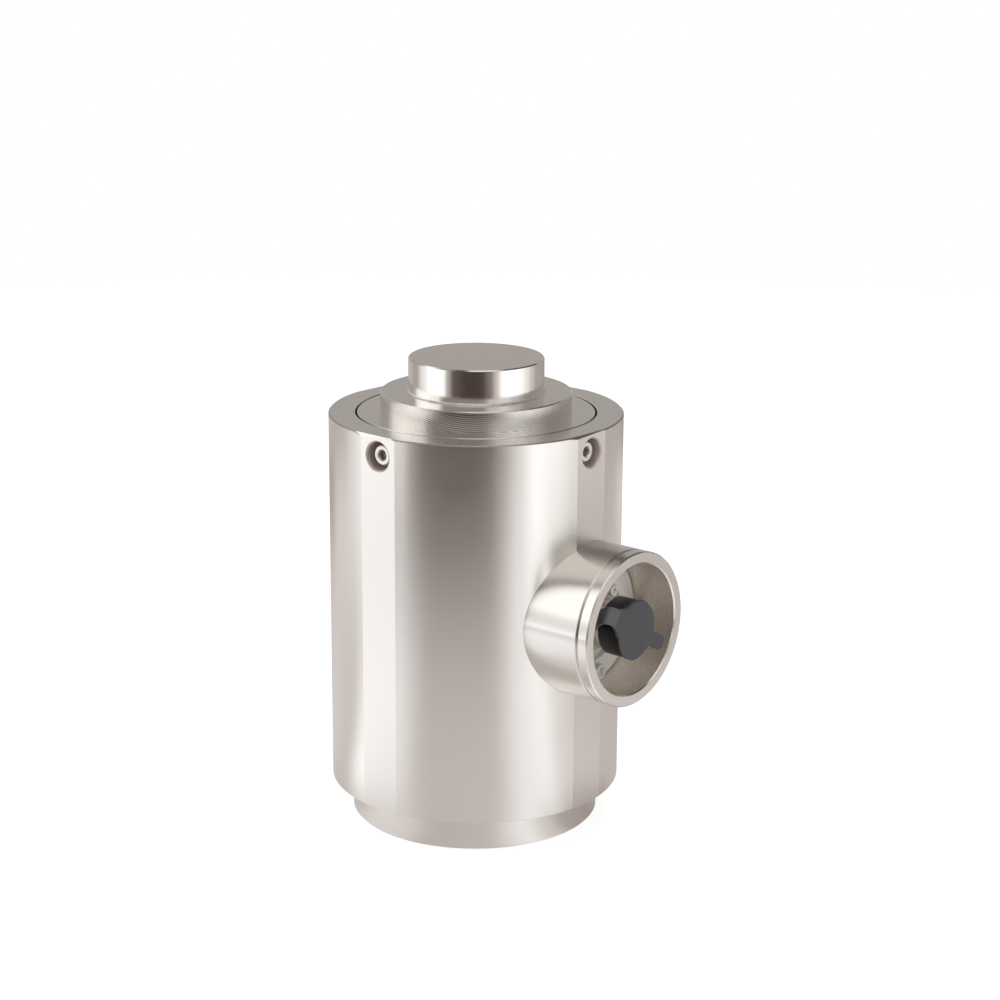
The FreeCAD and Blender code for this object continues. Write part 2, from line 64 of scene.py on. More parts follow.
def make_camera():
    """Camera at the photograph's viewing angle."""
    turn = Matrix.Rotation(math.radians(camera_azimuth), 3, "Z")
    yaw = math.radians(camera_yaw)
    pitch = math.radians(camera_pitch)
    roll = math.radians(camera_roll)
    ahead = Vector((math.sin(yaw) * math.cos(pitch), math.cos(yaw) * math.cos(pitch), -math.sin(pitch)))
    right = Vector((math.cos(yaw), -math.sin(yaw), 0))
    above = right.cross(ahead)
    x_axis = right * math.cos(roll) + above * math.sin(roll)
    y_axis = above * math.cos(roll) - right * math.sin(roll)
    axes = Matrix((x_axis, y_axis, -ahead)).transposed()
    data = bpy.data.cameras.new("camera")
    data.sensor_width = sensor
    data.lens = focal_pixels * sensor / image_size
    data.clip_start = nearest_seen
    data.clip_end = farthest_seen
    camera = bpy.data.objects.new("camera", data)
    place = turn @ Vector((0, -camera_distance, camera_height))
    camera.matrix_world = Matrix.LocRotScale(place, (turn @ axes).to_quaternion(), None)
    bpy.context.scene.collection.objects.link(camera)
    bpy.context.scene.camera = camera


# Node building


class Nodes:
    """Short way to add and join shader nodes."""

    def __init__(self, tree):
        self.tree = tree
        tree.nodes.clear()

    def add(self, kind, inputs=None, **settings):
        node = self.tree.nodes.new(kind)
        for name, value in settings.items():
            setattr(node, name, value)
        for name, value in (inputs or {}).items():
            self.put(node.inputs[name], value)
        return node

    def put(self, socket, value):
        if isinstance(value, bpy.types.NodeSocket):
            self.tree.links.new(value, socket)
        else:
            socket.default_value = value

    def fill(self, node, *values):
        """Puts values into a node's inputs in their order."""
        for index, value in enumerate(values):
            self.put(node.inputs[index], value)
        return node.outputs[0]

    def math(self, operation, *values):
        return self.fill(self.add("ShaderNodeMath", operation=operation), *values)

    def sum(self, first, second):
        return self.math("ADD", first, second)

    def product(self, first, second):
        return self.math("MULTIPLY", first, second)

    def blend(self, first, second, share):
        """Mean of two values that gives the first one the share."""
        return self.sum(self.product(first, share), self.product(second, 1 - share))

    def around(self, value, middle, width):
        """Value from 0 to 1 carried to a range of the given width about a middle."""
        return self.sum(self.product(value, width), middle - width / 2)

    def vector(self, operation, *values):
        return self.fill(self.add("ShaderNodeVectorMath", operation=operation), *values)

    def length(self, vector):
        return self.add("ShaderNodeVectorMath", {0: vector}, operation="LENGTH").outputs["Value"]

    def step(self, value, low, high, out_low=0.0, out_high=1.0):
        """Value carried smoothly from out_low at low to out_high at high."""
        node = self.add("ShaderNodeMapRange", interpolation_type="SMOOTHSTEP")
        return self.fill(node, value, low, high, out_low, out_high)

    def mix(self, share, first, second):
        """Colour between two colours."""
        node = self.add("ShaderNodeMix", data_type="RGBA")
        self.put(node.inputs[0], share)
        self.put(node.inputs[6], first)
        self.put(node.inputs[7], second)
        return node.outputs[2]

    def mix_shaders(self, share, first, second):
        return self.fill(self.add("ShaderNodeMixShader"), share, first, second)

    def noise(self, vector, scale, detail=3.0, roughness=0.6):
        settings = {"Vector": vector, "Scale": scale, "Detail": detail, "Roughness": roughness}
        return self.add("ShaderNodeTexNoise", settings).outputs["Fac"]

    def ramp(self, value, stops):
        """Colour ramp through stops of (place, colour)."""
        node = self.add("ShaderNodeValToRGB")
        node.color_ramp.interpolation = "EASE"
        elements = node.color_ramp.elements
        while len(elements) < len(stops):
            elements.new(0.5)
        for element, (place, colour) in zip(elements, sorted(stops, key=lambda stop: stop[0])):
            element.position = place
            element.color = (*colour, 1)
        return self.fill(node, value)

    def place(self):
        return self.add("ShaderNodeTexCoord").outputs["Object"]

    def parts(self, vector):
        node = self.add("ShaderNodeSeparateXYZ", {"Vector": vector})
        return node.outputs[0], node.outputs[1], node.outputs[2]

    def join(self, x, y, z):
        return self.fill(self.add("ShaderNodeCombineXYZ"), x, y, z)

    def bump(self, height, strength, depth):
        settings = {"Height": height, "Strength": strength, "Distance": depth}
        return self.add("ShaderNodeBump", settings).outputs[0]

    def principled(self, settings):
        """Principled shader as the surface of the material."""
        shader = self.add("ShaderNodeBsdfPrincipled", settings)
        self.add("ShaderNodeOutputMaterial", {"Surface": shader.outputs[0]})


def new_material(name):
    material = bpy.data.materials.new(name)
    material.use_nodes = True
    return material, Nodes(material.node_tree)


# Studio: pale floor, world of soft panels seen in the metal, and lamps

white = (1, 1, 1, 1)
even_light = (0.62, 0.62, 0.62, 1)
floor_radius = 1.6
floor_segments = 96
floor_colour = (0.8, 0.8, 0.8, 1)
floor_veil = (0.35, 0.35, 0.35, 1)
floor_lift = 0.8
lamp_aim = Vector((0, 0, 0.12))
dim_warmth = 0.18
dim_coolness = 0.06
dark_warmth = 0.28
dark_coolness = 0.10
dark_power = 6

# Each set of panels is stops of azimuth from the camera in degrees and brightness
# Near the foot the floor's panels dip to the right: a painted shadow of the object, seen only in reflections
foot_panels = (
    (-180, 0.50),
    (-130, 0.60),
    (-90, 0.54),
    (-62, 0.73),
    (-40, 0.70),
    (-22, 0.54),
    (6, 0.57),
    (30, 0.92),
    (42, 0.66),
    (57, 0.38),
    (79, 0.33),
    (90, 0.40),
    (97, 0.50),
    (180, 0.50),
)
near_panels = (
    (-180, 0.50),
    (-130, 0.66),
    (-100, 0.62),
    (-78, 1.25),
    (-60, 1.00),
    (-30, 0.575),
    (10, 0.585),
    (34, 0.95),
    (46, 1.05),
    (60, 0.79),
    (76, 0.66),
    (100, 0.54),
    (135, 0.50),
    (180, 0.50),
)
far_panels = (
    (-180, 0.50),
    (-150, 0.35),
    (-125, 0.78),
    (-105, 0.88),
    (-90, 1.22),
    (-79, 1.18),
    (-68, 0.55),
    (-60, 0.14),
    (-45, 0.07),
    (-20, 0.03),
    (0, 0.04),
    (10, 0.12),
    (20, 0.45),
    (28, 0.93),
    (45, 1.32),
    (60, 0.88),
    (75, 0.60),
    (90, 0.46),
    (100, 0.43),
    (115, 0.50),
    (130, 0.58),
    (145, 0.72),
    (160, 0.66),
    (180, 0.50),
)
top_panels = (
    (-180, 0.45),
    (-150, 0.50),
    (-120, 0.38),
    (-100, 0.90),
    (-80, 1.36),
    (-57, 1.32),
    (-48, 0.45),
    (-38, 0.10),
    (-15, 0.05),
    (8, 0.05),
    (24, 0.16),
    (34, 0.56),
    (44, 1.20),
    (65, 1.45),
    (80, 1.22),
    (100, 0.74),
    (120, 0.40),
    (160, 0.33),
    (180, 0.40),
)
band_panels = (
    (-180, 0.40),
    (-140, 0.50),
    (-115, 0.95),
    (-95, 1.60),
    (-75, 0.90),
    (-58, 0.06),
    (-20, 0.03),
    (10, 0.05),
    (25, 1.30),
    (50, 1.80),
    (70, 1.00),
    (95, 0.20),
    (140, 0.32),
    (180, 0.40),
)

# Painted reflection: what the floor shows to reflections outside the foot: distance where it starts,
# distance where it is full, and panels
floor_zones = (
    (0.10, 0.15, near_panels),
    (0.38, 0.70, far_panels),
    (0.76, 0.80, top_panels),
)

# Heights in the world are sines of the elevation
horizon = (-0.01, 0.04)
band_end = (0.12, 0.28)
overhead = (0.38, 0.364, 0.350, 1)
gap_colour = (0.10, 0.09, 0.083, 1)
left_softbox = (1.30, 1.29, 1.27, 1)
right_softbox = (0.84, 0.82, 0.79, 1)

# Ceiling panels: colour, middle azimuth, inner and outer half width, and heights where it is unseen and full
ceiling = (
    (gap_colour, -45, 22, 38, 0.46, 0.58),
    (gap_colour, 115, 26, 42, 0.40, 0.50),
    (left_softbox, -92, 24, 36, 0.85, 0.72),
    (right_softbox, 20, 45, 68, 0.50, 0.60),
)


def panel_colour(value):
    """Colour of a panel of the given brightness, warmer where it is dark."""
    dimness = max(0.0, 1 - value)
    darkness = dimness ** dark_power
    warmth = dim_warmth * dimness + dark_warmth * darkness
    coolness = dim_coolness * dimness + dark_coolness * darkness
    return (value * (1 + warmth), value, value * (1 - coolness))


def turn_from_camera(build, direction):
    """Share of a turn from behind the object round to a direction, 0.5 towards the camera."""
    x, y, _ = build.parts(direction)
    azimuth = build.math("SUBTRACT", build.math("ARCTAN2", y, x), front_angle)
    return build.math("FRACT", build.sum(build.math("DIVIDE", azimuth, math.tau), 0.5))


def panels(build, turn, stops):
    """Brightness all round from a set of panels."""
    return build.ramp(turn, [(angle / 360 + 0.5, panel_colour(value)) for angle, value in stops])


def sector(build, turn, middle, inner, outer):
    """One within an angle of the middle azimuth, fading to nought at the outer angle."""
    away = build.math("ABSOLUTE", build.math("SUBTRACT", turn, 0.5 + middle / 360))
    return build.step(away, inner / 360, outer / 360, 1.0, 0.0)


def make_world():
    """White for the camera, soft studio for reflections, and plain even light for the rest."""
    world = bpy.data.worlds.new("studio")
    bpy.context.scene.world = world
    world.use_nodes = True
    build = Nodes(world.node_tree)
    direction = build.add("ShaderNodeTexCoord").outputs["Generated"]
    turn = turn_from_camera(build, direction)
    height = build.parts(direction)[2]
    above = overhead
    for colour, middle, inner, outer, low, high in ceiling:
        share = build.product(sector(build, turn, middle, inner, outer), build.step(height, low, high))
        above = build.mix(share, above, colour)
    far = panels(build, turn, far_panels)
    band = panels(build, turn, band_panels)
    room = build.mix(build.step(height, *horizon), far, band)
    room = build.mix(build.step(height, *band_end), room, above)
    rays = build.add("ShaderNodeLightPath").outputs
    seen = build.math("MAXIMUM", rays["Is Camera Ray"], rays["Is Transmission Ray"])
    colour = build.mix(rays["Is Glossy Ray"], even_light, room)
    colour = build.mix(seen, colour, white)
    background = build.add("ShaderNodeBackground", {"Color": colour, "Strength": 1.0})
    build.add("ShaderNodeOutputWorld", {"Surface": background.outputs[0]})


def floor_material():
    """Pale paint, lifted to white for the camera outside the shadow, with panels for reflections: to glossy
    rays it glows with painted light and shade.
    """
    material, build = new_material("floor")
    place = build.place()
    turn = turn_from_camera(build, place)
    distance = build.length(place)
    mirrored = panels(build, turn, foot_panels)
    for start, full, stops in floor_zones:
        mirrored = build.mix(build.step(distance, start, full), mirrored, panels(build, turn, stops))
    rays = build.add("ShaderNodeLightPath").outputs
    paint = build.add("ShaderNodeBsdfDiffuse", {"Color": floor_colour}).outputs[0]
    veil = build.add("ShaderNodeBsdfDiffuse", {"Color": floor_veil}).outputs[0]
    lift = build.add("ShaderNodeEmission", {"Color": white, "Strength": floor_lift}).outputs[0]
    mirror = build.add("ShaderNodeEmission", {"Color": mirrored, "Strength": 1.0}).outputs[0]
    shown = build.fill(build.add("ShaderNodeAddShader"), veil, lift)
    plain = build.mix_shaders(rays["Is Camera Ray"], paint, shown)
    surface = build.mix_shaders(rays["Is Glossy Ray"], plain, mirror)
    build.add("ShaderNodeOutputMaterial", {"Surface": surface})
    return material


def make_floor():
    """Round pale floor."""
    mesh = bpy.data.meshes.new("floor")
    body = bmesh.new()
    bmesh.ops.create_circle(body, cap_ends=True, radius=floor_radius, segments=floor_segments)
    body.to_mesh(mesh)
    body.free()
    floor = bpy.data.objects.new("floor", mesh)
    bpy.context.scene.collection.objects.link(floor)
    floor.data.materials.append(floor_material())


def make_lamp(name, azimuth, height, distance, width, power):
    """Soft square lamp that faces the object, placed by its azimuth from the camera."""
    data = bpy.data.lights.new(name, "AREA")
    data.shape = "RECTANGLE"
    data.size = width
    data.size_y = width
    data.energy = power
    lamp = bpy.data.objects.new(name, data)
    angle = front_angle + math.radians(azimuth)
    place = Vector((math.cos(angle) * distance, math.sin(angle) * distance, height))
    lamp.location = place
    lamp.rotation_mode = "QUATERNION"
    lamp.rotation_quaternion = (place - lamp_aim).to_track_quat("Z", "Y")
    lamp.visible_glossy = False
    bpy.context.scene.collection.objects.link(lamp)


def make_lamps():
    make_lamp("left_lamp", azimuth=-80, height=0.9, distance=1.3, width=0.9, power=9.0)
    make_lamp("right_lamp", azimuth=60, height=0.7, distance=1.4, width=0.8, power=5.0)
    make_lamp("top_lamp", azimuth=150, height=1.6, distance=0.7, width=1.2, power=7.0)


# Materials

steel_colour = (0.87, 0.845, 0.81)
bore_colour = (0.95, 0.87, 0.79)
plate_colour = (0.95, 0.935, 0.91)
# Colour of the screw pockets: rough machined steel, darkened further by painted shade
pocket_machined_and_shade_colour = (0.62, 0.54, 0.48)
# Colour of the painted shade on the sleeve's top bevel, standing in for a dark reflected line
edge_painted_shade_colour = (0.5, 0.46, 0.43)
# Colour of the painted shade that darkens the tool marks
mark_painted_shade_colour = (0.3, 0.27, 0.24, 1)
spot_colour = (0.25, 0.21, 0.18, 1)
lathe_scale = 2600.0
grain_scale = 1300.0
cloud_scale = 45.0
spot_scale = 1700.0
spot_edge = (0.35, 0.65)
fine_share = 0.4
quarter_turn = 0.25
steel_variation = 0.035
gloss_variation = 0.08
grit_depth = 0.03 * mm
chatter_lean = 0.5
chatter_pitch = 1.04 * mm
chatter_wander = 0.5 * mm
chatter_wander_scale = 60.0
hatch_pitch = 0.5 * mm
hatch_across = 0.8
hatch_up = 0.6
small_scale = 900.0
small_darkest = 0.93
small_gloss_variation = 0.10
small_grit = 0.12
small_grit_depth = 0.04 * mm
dull_grit = 0.25
dull_gloss_variation = 0.12
cloud_size = 16
guard_level = (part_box("connector_guard")[0].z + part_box("connector_guard")[1].z) / 2


def shaded(colour, factor):
    """Opaque colour made darker or lighter by a factor."""
    return (*(min(1.0, channel * factor) for channel in colour), 1)


def turned_place(build, axis):
    """Place on a turned piece as (distance from its axis, distance along it)."""
    x, y, z = build.parts(build.place())
    if axis == "Z":
        return build.length(build.join(x, y, 0.0)), z
    level = build.math("SUBTRACT", z, guard_level)
    return build.length(build.join(0.0, y, level)), x


def turned_metal(
    name, axis="Z", roughness=0.30, anisotropy=0.7, marks=None, colour=steel_colour, grit=0.12,
    metallic=1.0, speckle=0.0,
):
    """Satin plated steel with fine turning marks round the given axis.

    Coarser marks on top of them are (function, how far they tilt the surface, how far their painted shade
    darkens it): the tool marks are real, their darkening is painted shade for the light on their ripples.
    """
    material, build = new_material(name)
    radius, along = turned_place(build, axis)
    fine = build.noise(build.join(radius, along, 0.0), lathe_scale, roughness=0.7)
    cloud = build.noise(build.place(), cloud_scale, detail=4.0)
    grain = build.noise(build.place(), grain_scale)
    shade = build.blend(fine, cloud, fine_share)
    paint = build.mix(shade, shaded(colour, 1 - steel_variation), shaded(colour, 1 + steel_variation))
    if speckle:
        spots = build.step(build.noise(build.place(), spot_scale, detail=2.0), *spot_edge, 0.0, speckle)
        paint = build.mix(spots, paint, spot_colour)
    normal = build.bump(build.blend(fine, grain, fine_share), grit, grit_depth)
    if marks:
        draw, tilt, mark_painted_shade = marks
        wave = draw(build)
        # Painted shade: the marks darken the colour in place of the light and shade on their ripples
        paint = build.mix(build.product(wave, mark_painted_shade), paint, mark_painted_shade_colour)
        lean = build.join(0.0, 0.0, build.around(wave, 0.0, tilt))
        normal = build.vector("NORMALIZE", build.vector("ADD", normal, lean))
    settings = {
        "Base Color": paint,
        "Metallic": metallic,
        "Roughness": build.around(shade, roughness, gloss_variation),
        "Normal": normal,
    }
    if anisotropy:
        settings["Anisotropic"] = anisotropy
        settings["Anisotropic Rotation"] = quarter_turn
        settings["Tangent"] = build.add("ShaderNodeTangent", direction_type="RADIAL", axis=axis).outputs[0]
    build.principled(settings)
    return material


def ripple(build, distance, pitch):
    """Wave between 0 and 1 along a distance."""
    wave = build.math("SINE", build.product(distance, math.tau / pitch))
    return build.sum(build.product(wave, 0.5), 0.5)


def chatter_marks(build):
    """Waves that a turning tool left round the collar, lowest at the front and rising to both sides."""
    x, y, z = build.parts(build.place())
    along_x = build.product(x, chatter_lean * math.cos(front_angle))
    along_y = build.product(y, chatter_lean * math.sin(front_angle))
    uneven = build.noise(build.place(), chatter_wander_scale, detail=2.0, roughness=0.5)
    climb = build.sum(build.sum(along_x, along_y), z)
    return ripple(build, build.sum(climb, build.product(uneven, chatter_wander)), chatter_pitch)


def hatch_marks(build):
    """Fine slanted cutter marks on a milled flat."""
    x, y, z = build.parts(build.place())
    across = build.product(build.sum(x, y), hatch_across)
    return ripple(build, build.sum(across, build.product(z, hatch_up)), hatch_pitch)


def plain_metal(name, colour, roughness, metallic=1.0):
    """Small fine-grained metal or plated part."""
    material, build = new_material(name)
    grain = build.noise(build.place(), small_scale)
    build.principled({
        "Base Color": build.mix(grain, shaded(colour, small_darkest), shaded(colour, 1)),
        "Metallic": metallic,
        "Roughness": build.around(grain, roughness, small_gloss_variation),
        "Normal": build.bump(grain, small_grit, small_grit_depth),
    })
    return material


def dull_material(name, colour, roughness, scale=700.0, depth=0.05 * mm, variation=0.12):
    """Rubber, plastic or board with a fine grain."""
    material, build = new_material(name)
    place = build.place()
    grain = build.noise(place, scale, detail=4.0)
    cloud = build.noise(place, scale / cloud_size, roughness=0.5)
    shade = build.blend(grain, cloud, 0.5)
    build.principled({
        "Base Color": build.mix(shade, shaded(colour, 1 - variation), shaded(colour, 1 + variation)),
        "Roughness": build.around(grain, roughness, dull_gloss_variation),
        "Normal": build.bump(grain, dull_grit, depth),
    })
    return material


def dress(material, *names):
    for name in names:
        data = nodes[name].data
        data.materials.clear()
        data.materials.append(material)


def dress_faces(material, name, chosen):
    """Gives the faces of a CAD node that are chosen by their middle and normal a material of their own."""
    data = nodes[name].data
    data.materials.append(material)
    last = len(data.materials) - 1
    for face in data.polygons:
        if chosen(face.center, face.normal):
            face.material_index = last


# Rubber dust cap: cup, front face with its tab, strap and eyelet, moulded as one piece

cap_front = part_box("dust_cap")[1].x
plate_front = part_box("connector_plate")[1].x
barrel_radius = 12.7 * mm
cap_inner = barrel_radius + 0.05 * mm
cap_radius = barrel_radius + 1.95 * mm
cap_back = cap_front - 13.3 * mm
cap_rim = 0.5 * mm
cap_rounding = 0.6 * mm
cap_segments = 128
sharp_angle = math.radians(35)
disc_radius = cap_radius + 0.5 * mm
disc_thickness = 2.0 * mm
disc_squash = 0.965
disc_squash_fade = 4 * mm
disc_waver = 0.008
disc_ripple = 0.005
outline_points = 360
tab_crowding = 0.75
tab_angle = math.radians(-30)
tab_reach = disc_radius + 11.0 * mm
tab_half = 3.8 * mm
tab_squareness = 9.0
tab_join = 12.0
strap_angle = math.radians(148)
strap_swing = math.radians(32)
strap_half = 4.5 * mm
strap_flare = 4.0 * mm
strap_flare_share = 0.1
strap_thickness = 2.0 * mm
strap_corner = 0.7 * mm
strap_start = disc_radius - 3 * mm
strap_lead = 26 * mm
strap_bulge = 6 * mm
strap_steps = 72
strap_nudge = 0.001
disc_colour_reach = disc_radius + 3 * mm
screw_circle = 26.8 * mm
eyelet_radius = 6.0 * mm
eyelet_hole = 2.8 * mm
eyelet_rim = 0.5 * mm
eyelet_segments = 72


def loop_faces(body, first, second):
    """Quads between two closed loops of vertices."""
    count = len(first)
    for index in range(count):
        after = (index + 1) % count
        body.faces.new((first[index], first[after], second[after], second[index]))


def revolve(body, profile, segments, centre=0.0):
    """Closed surface of revolution through (radius, depth), beside the guard's axis by centre."""
    turns = [step / segments * math.tau for step in range(segments)]
    rings = []
    for radius, depth in profile:
        ring = []
        for turn in turns:
            y = centre + radius * math.cos(turn)
            ring.append(body.verts.new((depth, y, guard_level + radius * math.sin(turn))))
        rings.append(ring)
    for first, second in zip(rings, rings[1:] + rings[:1]):
        loop_faces(body, first, second)


def quarter_round(radius, steps):
    """Quarter circle as (distance inwards, distance forwards)."""
    angles = [step / steps * math.pi / 2 for step in range(steps + 1)]
    return [(radius * (1 - math.cos(angle)), radius * math.sin(angle)) for angle in angles]


def tab_radius(angle):
    """Distance to the rim of disc and tab at an angle."""
    away = (angle - tab_angle + math.pi) % math.tau - math.pi
    if abs(away) >= math.pi / 2:
        return disc_radius
    along = tab_reach / math.cos(away)
    across = tab_half / max(abs(math.sin(away)), 1e-6)
    tab = (along ** -tab_squareness + across ** -tab_squareness) ** (-1 / tab_squareness)
    return (disc_radius ** tab_join + tab ** tab_join) ** (1 / tab_join)


def face_outline():
    """Outline of the cap's front face as (y, z) about the guard's axis, finer round the tab."""
    outline = []
    for step in range(outline_points):
        turn = step / outline_points * math.tau
        angle = tab_angle + turn - tab_crowding * math.sin(turn)
        uneven = 1 + disc_waver * math.sin(3 * angle + 1) + disc_ripple * math.sin(7 * angle)
        radius = tab_radius(angle) * uneven
        share = min(1.0, max(0.0, (radius - disc_radius) / disc_squash_fade))
        squash = disc_squash + (1 - disc_squash) * share
        outline.append((radius * squash * math.cos(angle), radius * math.sin(angle)))
    return outline


def inset(points, distance):
    """Closed outline moved inwards by a distance."""
    moved = []
    for index, (y, z) in enumerate(points):
        before = points[index - 1]
        after = points[(index + 1) % len(points)]
        dy, dz = after[0] - before[0], after[1] - before[1]
        length = math.hypot(dy, dz)
        moved.append((y - dz / length * distance, z + dy / length * distance))
    return moved


def cap_face_mesh(body):
    """Front disc and tab with rounded rims."""
    outline = face_outline()
    front = [(shift, cap_front - cap_rounding + rise) for shift, rise in quarter_round(cap_rounding, 6)]
    back = [(shift, 2 * cap_front - disc_thickness - depth) for shift, depth in reversed(front)]
    rings = []
    for shift, depth in back + front:
        rings.append([body.verts.new((depth, y, guard_level + z)) for y, z in inset(outline, shift)])
    for first, second in zip(rings, rings[1:]):
        loop_faces(body, first, second)
    body.faces.new(reversed(rings[0]))
    body.faces.new(rings[-1])


def cap_cup_mesh(body):
    """Skirt of the cap with a rounded back rim, closed at the front by the face."""
    middle = (cap_inner + cap_radius) / 2
    half = (cap_radius - cap_inner) / 2
    face = cap_front - disc_thickness / 2
    profile = [(cap_inner, face), (cap_inner, cap_back + cap_rim)]
    steps = 5
    for step in range(1, steps):
        angle = step / steps * math.pi
        profile.append((middle - half * math.cos(angle), cap_back + cap_rim * (1 - math.sin(angle))))
    profile += [(cap_radius, cap_back + cap_rim), (cap_radius, face)]
    revolve(body, profile, cap_segments)


def strap_point(share):
    """Middle line of the strap as (radius, depth), a curve from inside the disc to the plate's screw."""
    half = strap_thickness / 2
    corners = (
        (strap_start, cap_front - half),
        (strap_start + strap_lead, cap_front - half),
        (disc_radius + strap_bulge, cap_front - half),
        (barrel_radius, plate_front + half),
        (screw_circle, plate_front + half),
    )
    degree = len(corners) - 1
    radius = depth = 0
    for index, corner in enumerate(corners):
        weight = math.comb(degree, index) * share ** index * (1 - share) ** (degree - index)
        radius += weight * corner[0]
        depth += weight * corner[1]
    return radius, depth


def rounded_oblong(half_width, half_height, corner, steps=4):
    """Outline of an oblong with rounded corners."""
    points = []
    for quarter in range(4):
        sx = (1, -1, -1, 1)[quarter]
        sy = (1, 1, -1, -1)[quarter]
        for step in range(steps + 1):
            angle = (quarter + step / steps) * math.pi / 2
            x = sx * (half_width - corner) + corner * math.cos(angle)
            y = sy * (half_height - corner) + corner * math.sin(angle)
            points.append((x, y))
    return points


def strap_loop(body, share):
    """Section of the strap, of rounded oblong shape, at a share of its length."""
    radius, depth = strap_point(share)
    ahead = strap_point(min(1, share + strap_nudge))
    behind = strap_point(max(0, share - strap_nudge))
    run = Vector((ahead[0] - behind[0], ahead[1] - behind[1])).normalized()
    angle = strap_angle + strap_swing * share ** 2
    half = strap_half + strap_flare * max(0.0, 1 - share / strap_flare_share) ** 2
    loop = []
    for across, along in rounded_oblong(half, strap_thickness / 2, strap_corner):
        out = radius + run.y * along
        y = out * math.cos(angle) - across * math.sin(angle)
        z = out * math.sin(angle) + across * math.cos(angle)
        loop.append(body.verts.new((depth - run.x * along, y, guard_level + z)))
    return loop


def strap_mesh(body):
    """Strap from inside the disc round to the eyelet."""
    loops = [strap_loop(body, step / strap_steps) for step in range(strap_steps + 1)]
    for first, second in zip(loops, loops[1:]):
        loop_faces(body, first, second)
    body.faces.new(reversed(loops[0]))
    body.faces.new(loops[-1])


def eyelet_mesh(body):
    """Ring round the plate's screw with a rounded rim."""
    top = plate_front + strap_thickness
    profile = [(eyelet_hole, plate_front), (eyelet_radius, plate_front)]
    for shift, rise in quarter_round(eyelet_rim, 5):
        profile.append((eyelet_radius - shift, top - eyelet_rim + rise))
    profile.append((eyelet_hole, top))
    revolve(body, profile, eyelet_segments, -screw_circle)


def add_piece(name, make, materials):
    """Mesh piece of closed shells on the root body, each made by a function with its material's number."""
    body = bmesh.new()
    for function, number in make:
        before = len(body.faces)
        function(body)
        body.faces.ensure_lookup_table()
        for face in body.faces[before:]:
            face.material_index = number
    bmesh.ops.recalc_face_normals(body, faces=body.faces)
    mesh = bpy.data.meshes.new(name)
    body.to_mesh(mesh)
    body.free()
    mesh.shade_smooth()
    mesh.set_sharp_from_angle(angle=sharp_angle)
    piece = bpy.data.objects.new(name, mesh)
    for material in materials:
        piece.data.materials.append(material)
    bpy.context.scene.collection.objects.link(piece)
    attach(piece, "root")
    return piece


def make_cap():
    """Cap whose strap has the disc's colour where it leaves the disc; the skirt's near black is painted
    shade and the lighter grey of strap and eyelet a painted highlight.
    """
    rubber = dull_material("cap_rubber", (0.058, 0.058, 0.066), 0.5, 900.0, 0.08 * mm, 0.25)
    # Painted shade: the skirt is the cap's own rubber drawn near black
    skirt = dull_material("cap_skirt_rubber_painted_shade", (0.010, 0.009, 0.009), 0.4, 900.0, 0.06 * mm, 0.2)
    # Painted highlight: the strap and eyelet are the cap's own rubber drawn lighter
    strap = dull_material("cap_strap_rubber_painted_highlight", (0.085, 0.092, 0.098), 0.42, 900.0, 0.06 * mm, 0.2)
    shells = ((cap_cup_mesh, 1), (cap_face_mesh, 0), (strap_mesh, 2), (eyelet_mesh, 2))
    cap = add_piece("rubber_cap", shells, (rubber, skirt, strap))
    for face in cap.data.polygons:
        out = math.hypot(face.center.y, face.center.z - guard_level)
        if face.center.x > cap_front - disc_thickness - hair and out < disc_colour_reach:
            face.material_index = 0
    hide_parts("dust_cap")


# Faces of the CAD nodes that have a material of their own, chosen by their middle and normal

column_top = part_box("load_column")[1].z
collar_top = column_top - 17.5 * mm
flange_top = collar_top - 10.4 * mm
button_radius = 34.5 * mm
button_foot_width = 1.2 * mm
button_foot_height = 0.8 * mm
flat_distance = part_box("housing_sleeve")[1].y
guard_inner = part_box("connector_plate")[1].y
screw_level = (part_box("sleeve_screws")[0].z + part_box("sleeve_screws")[1].z) / 2
pocket_reach = 8 * mm
socket_reach = 2.6 * mm
flat_depth = 0.1 * mm
guard_depth = 0.5 * mm
straight = 0.999
facing = 0.9
slanting = 0.3
steep = 0.5
rising = 0.02


def from_screw_axis(place):
    """Distance from the axis of a sleeve screw."""
    return math.hypot(min(abs(place.x), abs(place.y)), place.z - screw_level)


def faces_up(place, normal):
    """True on level faces that look up."""
    return normal.z > facing


def on_flat(place, normal):
    """True on the milled flats of the sleeve."""
    outwards = max(abs(normal.x), abs(normal.y)) > straight
    return outwards and max(abs(place.x), abs(place.y)) > flat_distance - flat_depth


def on_sleeve_edge(place, normal):
    """True on the small bevel round the sleeve's upper outer edge, between the flats."""
    round_edge = math.hypot(place.x, place.y) > flat_distance
    return slanting < normal.z < facing and place.z > flange_top - mm and round_edge


def in_pocket(place, normal):
    """True inside the pockets of the sleeve's screws."""
    out = max(abs(place.x), abs(place.y))
    return from_screw_axis(place) < pocket_reach and out < flat_distance - hair


def in_socket(place, normal):
    """True in the hexagon sockets of the sleeve's screws."""
    return from_screw_axis(place) < socket_reach


def on_button(place, normal):
    """True on the button between the collar and its top face."""
    return collar_top + hair < place.z < column_top - hair


def on_button_foot(place, normal):
    """True on the fillet at the button's foot and on the narrow ring of the collar that it runs out on."""
    near = math.hypot(place.x, place.y) < button_radius + button_foot_width
    return near and collar_top - hair < place.z < collar_top + button_foot_height and normal.z > rising


def on_collar(place, normal):
    """True on the collar's turned side."""
    return flange_top < place.z < collar_top and abs(normal.z) < slanting


def in_guard(place, normal):
    """True on the inner wall of the guard."""
    out = math.hypot(place.y, place.z - guard_level)
    return out < guard_inner + guard_depth and abs(normal.x) < steep


def on_guard_rim(place, normal):
    """True on the front face of the guard."""
    return normal.x > facing and place.x > plate_front


